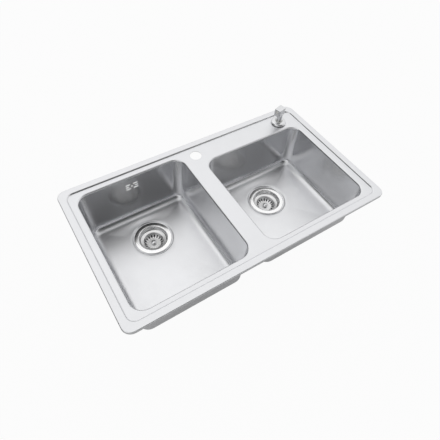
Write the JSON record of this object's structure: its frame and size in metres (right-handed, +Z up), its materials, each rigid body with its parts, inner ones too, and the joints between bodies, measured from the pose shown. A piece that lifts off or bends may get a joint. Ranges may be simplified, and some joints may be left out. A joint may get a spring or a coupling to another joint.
{
  "type": "inset kitchen sink with two bowls",
  "caption": "Inset steel kitchen sink with a large and a smaller bowl, raised rolled rim, basket wastes, overflow, tap hole and a press-down soap dispenser",
  "frame": {"origin": "centre of the rim in plan, in the plane of the worktop that the rim stands on", "axes": "+X along the long side from the large bowl to the smaller one, +Y to the back where the tap hole is, +Z up"},
  "size_m": [0.8, 0.45, 0.331],
  "materials": {
    "satin_steel": "satin stainless steel",
    "polished_steel": "polished stainless steel",
    "chrome": "mirror-polished chrome plate",
    "zinc_steel": "zinc-plated steel",
    "dark_rubber": "matt black rubber",
    "foam": "closed-cell foam",
    "white_plastic": "moulded white polypropylene",
    "clear_plastic": "blow-moulded polyethylene, milky"
  },
  "bodies": {
    "sink": {"top_deck": "satin_steel", "main_bowl": "satin_steel", "side_bowl": "satin_steel", "rim_seal": "foam", "main_sound_pad": "dark_rubber", "side_sound_pad": "dark_rubber", "clip_bracket_1": "zinc_steel", "clip_claw_1": "zinc_steel", "clip_screw_1": "zinc_steel", "clip_bracket_2": "zinc_steel", "clip_claw_2": "zinc_steel", "clip_screw_2": "zinc_steel", "clip_bracket_3": "zinc_steel", "clip_claw_3": "zinc_steel", "clip_screw_3": "zinc_steel", "clip_bracket_4": "zinc_steel", "clip_claw_4": "zinc_steel", "clip_screw_4": "zinc_steel", "clip_bracket_5": "zinc_steel", "clip_claw_5": "zinc_steel", "clip_screw_5": "zinc_steel", "clip_bracket_6": "zinc_steel", "clip_claw_6": "zinc_steel", "clip_screw_6": "zinc_steel", "main_strainer_body": "polished_steel", "main_flange_seal": "foam", "main_floor_gasket": "dark_rubber", "main_waste_cup": "white_plastic", "main_waste_screw": "polished_steel", "side_strainer_body": "polished_steel", "side_flange_seal": "foam", "side_floor_gasket": "dark_rubber", "side_waste_cup": "white_plastic", "side_waste_screw": "polished_steel", "dispenser_collar": "chrome", "dispenser_washer": "dark_rubber", "dispenser_nut": "white_plastic", "dispenser_bottle": "clear_plastic"},
    "main_basket_set": {"main_basket": "polished_steel", "main_basket_knob": "chrome", "main_basket_stem": "polished_steel", "main_basket_stopper": "dark_rubber"},
    "side_basket_set": {"side_basket": "polished_steel", "side_basket_knob": "chrome", "side_basket_stem": "polished_steel", "side_basket_stopper": "dark_rubber"},
    "pump": {"pump_body": "white_plastic", "pump_dip_tube": "clear_plastic", "pump_spring": "zinc_steel"},
    "pump_plunger": {"pump_stem": "white_plastic", "pump_sleeve": "chrome"},
    "pump_head": {"dispenser_head": "chrome", "spout_tip": "white_plastic"}
  },
  "joints": [
    {"name": "main_basket_lift", "type": "slide", "parent": "sink", "child": "main_basket_set", "axis": [0, 0, 1], "range_m": [0, 0.22]},
    {"name": "side_basket_lift", "type": "slide", "parent": "sink", "child": "side_basket_set", "axis": [0, 0, 1], "range_m": [0, 0.21]},
    {"name": "pump_lift", "type": "slide", "parent": "sink", "child": "pump", "axis": [0, 0, 1], "range_m": [0, 0.165]},
    {"name": "pump_press", "type": "slide", "parent": "pump", "child": "pump_plunger", "axis": [0, 0, -1], "range_m": [0, 0.012], "stiffness_N_per_m": 400, "springref_m": -0.01, "deforming": ["pump_spring"]},
    {"name": "head_swivel", "type": "hinge", "parent": "pump_plunger", "child": "pump_head", "pos_m": [0.316, 0.171, 0.05], "axis": [0, 0, 1], "continuous": true}
  ]
}
